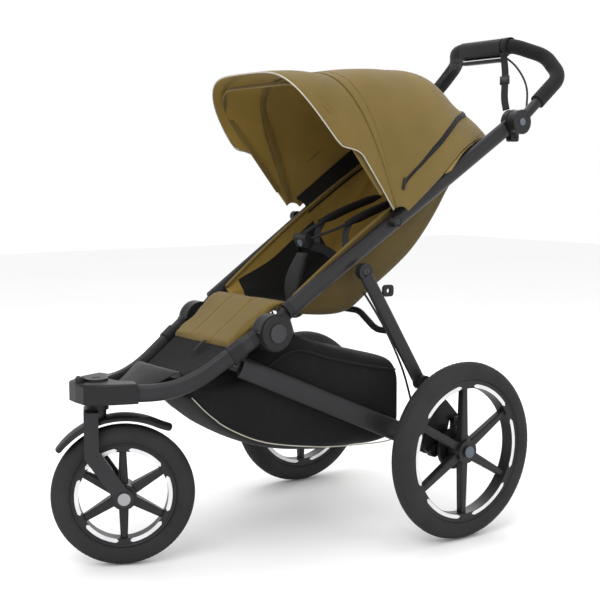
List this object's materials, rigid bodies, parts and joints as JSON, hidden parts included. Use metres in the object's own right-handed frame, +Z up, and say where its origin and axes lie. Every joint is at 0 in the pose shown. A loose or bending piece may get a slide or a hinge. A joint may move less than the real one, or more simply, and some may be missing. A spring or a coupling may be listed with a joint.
{
  "type": "baby stroller",
  "caption": "Three-wheeled folding baby stroller with a swivelling front wheel, suspended rear wheels, reclining seat, folding canopy and adjustable handlebar.",
  "frame": {"origin": "middle of the stroller's box, on the ground", "axes": "+Z up, the front wheel towards -Y, +X to the child's left"},
  "size_m": [0.6704, 1.2613, 1.152],
  "materials": {
    "frame_tube": "dark grey satin anodised tube",
    "casting": "dark grey cast and painted",
    "steel": "plain steel pin",
    "black_plastic": "black moulded nylon",
    "grey_button": "bluish grey moulded button",
    "tyre": "dark grey air tyre",
    "foam_grip": "black foam grip",
    "cable": "black cable sheath and rubber",
    "olive_fabric": "olive ochre woven fabric",
    "black_fabric": "black mesh and woven fabric"
  },
  "bodies": {
    "front_frame": {"front_tube_left": "frame_tube", "front_tube_right": "frame_tube", "nose_casting": "casting", "hub_housings": "casting", "hub_covers": "black_plastic", "hub_pins": "steel", "pivot_brackets": "casting", "footrest_tray": "black_plastic", "footwell_panel": "black_fabric", "leg_rest_pad": "olive_fabric"},
    "caster_lock": {"caster_lock_knob": "black_plastic"},
    "fork": {"fork": "frame_tube", "front_fender": "black_plastic", "front_axle": "steel"},
    "quick_release": {"quick_release_lever": "black_plastic"},
    "front_wheel": {"front_tyre": "tyre", "front_rim": "black_plastic"},
    "upper_frame": {"upper_hubs": "casting", "upper_tube_left": "frame_tube", "upper_tube_right": "frame_tube", "cross_tube": "frame_tube", "handle_housings": "casting", "canopy_mounts": "casting", "seat_base": "black_fabric", "crotch_strap": "black_fabric", "buckle": "black_plastic", "canopy_rear": "olive_fabric"},
    "buckle_button": {"buckle_button": "grey_button"},
    "seat_back": {"seat_back": "olive_fabric", "shoulder_pads": "black_fabric"},
    "handlebar": {"handle_bar": "frame_tube", "handle_grips": "foam_grip", "brake_housing": "black_plastic", "handle_cables": "cable"},
    "brake_lever": {"brake_lever": "black_plastic"},
    "tilt_button_left": {"tilt_button_left": "grey_button"},
    "tilt_button_right": {"tilt_button_right": "grey_button"},
    "canopy_middle": {"canopy_middle": "olive_fabric", "canopy_bow_middle": "frame_tube"},
    "canopy_front": {"canopy_brim": "olive_fabric", "canopy_bow_front": "frame_tube"},
    "chassis": {"lower_tube_left": "frame_tube", "lower_tube_right": "frame_tube", "uprights": "casting", "axle_beam": "frame_tube", "basket": "black_fabric", "suspension_rubbers": "cable"},
    "rear_legs": {"rear_leg_left": "frame_tube", "rear_leg_right": "frame_tube", "leg_brace": "frame_tube", "strap_tabs": "black_plastic", "leg_cables": "cable"},
    "suspension_left": {"suspension_arm_left": "casting"},
    "suspension_right": {"suspension_arm_right": "casting"},
    "rear_wheel_left": {"rear_tyre_left": "tyre", "rear_rim_left": "black_plastic"},
    "rear_wheel_right": {"rear_tyre_right": "tyre", "rear_rim_right": "black_plastic"},
    "hub_button_left": {"hub_button_left": "grey_button"},
    "hub_button_right": {"hub_button_right": "grey_button"}
  },
  "joints": [
    {"name": "fold", "type": "hinge", "parent": "front_frame", "child": "upper_frame", "pos_m": [0, -0.20281, 0.482], "axis": [-1, 0, 0], "range_deg": [0, 110], "deforming": ["seat_base", "seat_back", "basket", "leg_rest_pad", "footwell_panel"]},
    {"name": "lower_frame_fold", "type": "hinge", "parent": "front_frame", "child": "chassis", "pos_m": [0, -0.28381, 0.42], "axis": [-1, 0, 0], "range_deg": [0, 83.72]},
    {"name": "rear_leg_fold", "type": "hinge", "parent": "chassis", "child": "rear_legs", "pos_m": [0, 0.13819, 0.353], "axis": [1, 0, 0], "range_deg": [0, 27.84]},
    {"name": "fork_swivel", "type": "hinge", "parent": "front_frame", "child": "fork", "pos_m": [0, -0.53881, 0.35], "axis": [0, 0, 1], "continuous": true},
    {"name": "front_wheel_spin", "type": "hinge", "parent": "fork", "child": "front_wheel", "pos_m": [0.02247, -0.49191, 0.15], "axis": [0.9018, -0.4321, 0], "continuous": true},
    {"name": "quick_release_turn", "type": "hinge", "parent": "fork", "child": "quick_release", "pos_m": [0.02247, -0.49191, 0.15], "axis": [0.9018, -0.4321, 0], "range_deg": [0, 90]},
    {"name": "caster_lock_turn", "type": "hinge", "parent": "front_frame", "child": "caster_lock", "pos_m": [0, -0.57481, 0.393], "axis": [0, 0, 1], "range_deg": [0, 90]},
    {"name": "handle_tilt", "type": "hinge", "parent": "upper_frame", "child": "handlebar", "pos_m": [0, 0.46819, 0.938], "axis": [-1, 0, 0], "range_deg": [-40, 60]},
    {"name": "brake_pull", "type": "hinge", "parent": "handlebar", "child": "brake_lever", "pos_m": [0, 0.55919, 1.132], "axis": [1, 0, 0], "range_deg": [0, 12], "stiffness_Nm_per_rad": 0.6, "springref_deg": -8.59},
    {"name": "tilt_button_left_press", "type": "slide", "parent": "handlebar", "child": "tilt_button_left", "axis": [-1, 0, 0], "range_m": [0, 0.003], "stiffness_N_per_m": 400, "springref_m": -0.003},
    {"name": "tilt_button_right_press", "type": "slide", "parent": "handlebar", "child": "tilt_button_right", "axis": [1, 0, 0], "range_m": [0, 0.003], "stiffness_N_per_m": 400, "springref_m": -0.003},
    {"name": "seat_recline", "type": "hinge", "parent": "upper_frame", "child": "seat_back", "pos_m": [0, 0.09419, 0.563], "axis": [-1, 0, 0], "range_deg": [0, 20]},
    {"name": "buckle_press", "type": "slide", "parent": "upper_frame", "child": "buckle_button", "axis": [0, 0.9063, 0.4226], "range_m": [0, 0.0025], "stiffness_N_per_m": 300, "springref_m": -0.003},
    {"name": "canopy_fold", "type": "hinge", "parent": "upper_frame", "child": "canopy_middle", "pos_m": [0, 0.10619, 0.715], "axis": [-1, 0, 0], "range_deg": [0, 55], "deforming": ["canopy_rear", "canopy_middle"]},
    {"name": "canopy_front_fold", "type": "hinge", "parent": "canopy_middle", "child": "canopy_front", "pos_m": [0, 0.10619, 0.715], "axis": [-1, 0, 0], "range_deg": [0, 8.81], "deforming": ["canopy_brim"]},
    {"name": "suspension_left_bounce", "type": "hinge", "parent": "chassis", "child": "suspension_left", "pos_m": [0.265, 0.16019, 0.196], "axis": [1, 0, 0], "range_deg": [0, 8], "stiffness_Nm_per_rad": 25, "springref_deg": -14.32, "deforming": ["suspension_rubbers"]},
    {"name": "suspension_right_bounce", "type": "hinge", "parent": "chassis", "child": "suspension_right", "pos_m": [-0.265, 0.16019, 0.196], "axis": [1, 0, 0], "range_deg": [0, 8], "stiffness_Nm_per_rad": 25, "springref_deg": -14.32, "deforming": ["suspension_rubbers"]},
    {"name": "rear_wheel_left_spin", "type": "hinge", "parent": "suspension_left", "child": "rear_wheel_left", "pos_m": [0.30875, 0.20619, 0.2], "axis": [1, 0, 0], "continuous": true},
    {"name": "rear_wheel_right_spin", "type": "hinge", "parent": "suspension_right", "child": "rear_wheel_right", "pos_m": [-0.30875, 0.20619, 0.2], "axis": [1, 0, 0], "continuous": true},
    {"name": "hub_button_left_press", "type": "slide", "parent": "rear_wheel_left", "child": "hub_button_left", "axis": [-1, 0, 0], "range_m": [0, 0.003], "stiffness_N_per_m": 400, "springref_m": -0.003},
    {"name": "hub_button_right_press", "type": "slide", "parent": "rear_wheel_right", "child": "hub_button_right", "axis": [1, 0, 0], "range_m": [0, 0.003], "stiffness_N_per_m": 400, "springref_m": -0.003}
  ],
  "couplings": [
    {"joint": "lower_frame_fold", "follows": "fold", "ratio": 0.761},
    {"joint": "rear_leg_fold", "follows": "fold", "ratio": 0.253},
    {"joint": "canopy_front_fold", "follows": "canopy_fold", "ratio": 0.16}
  ]
}
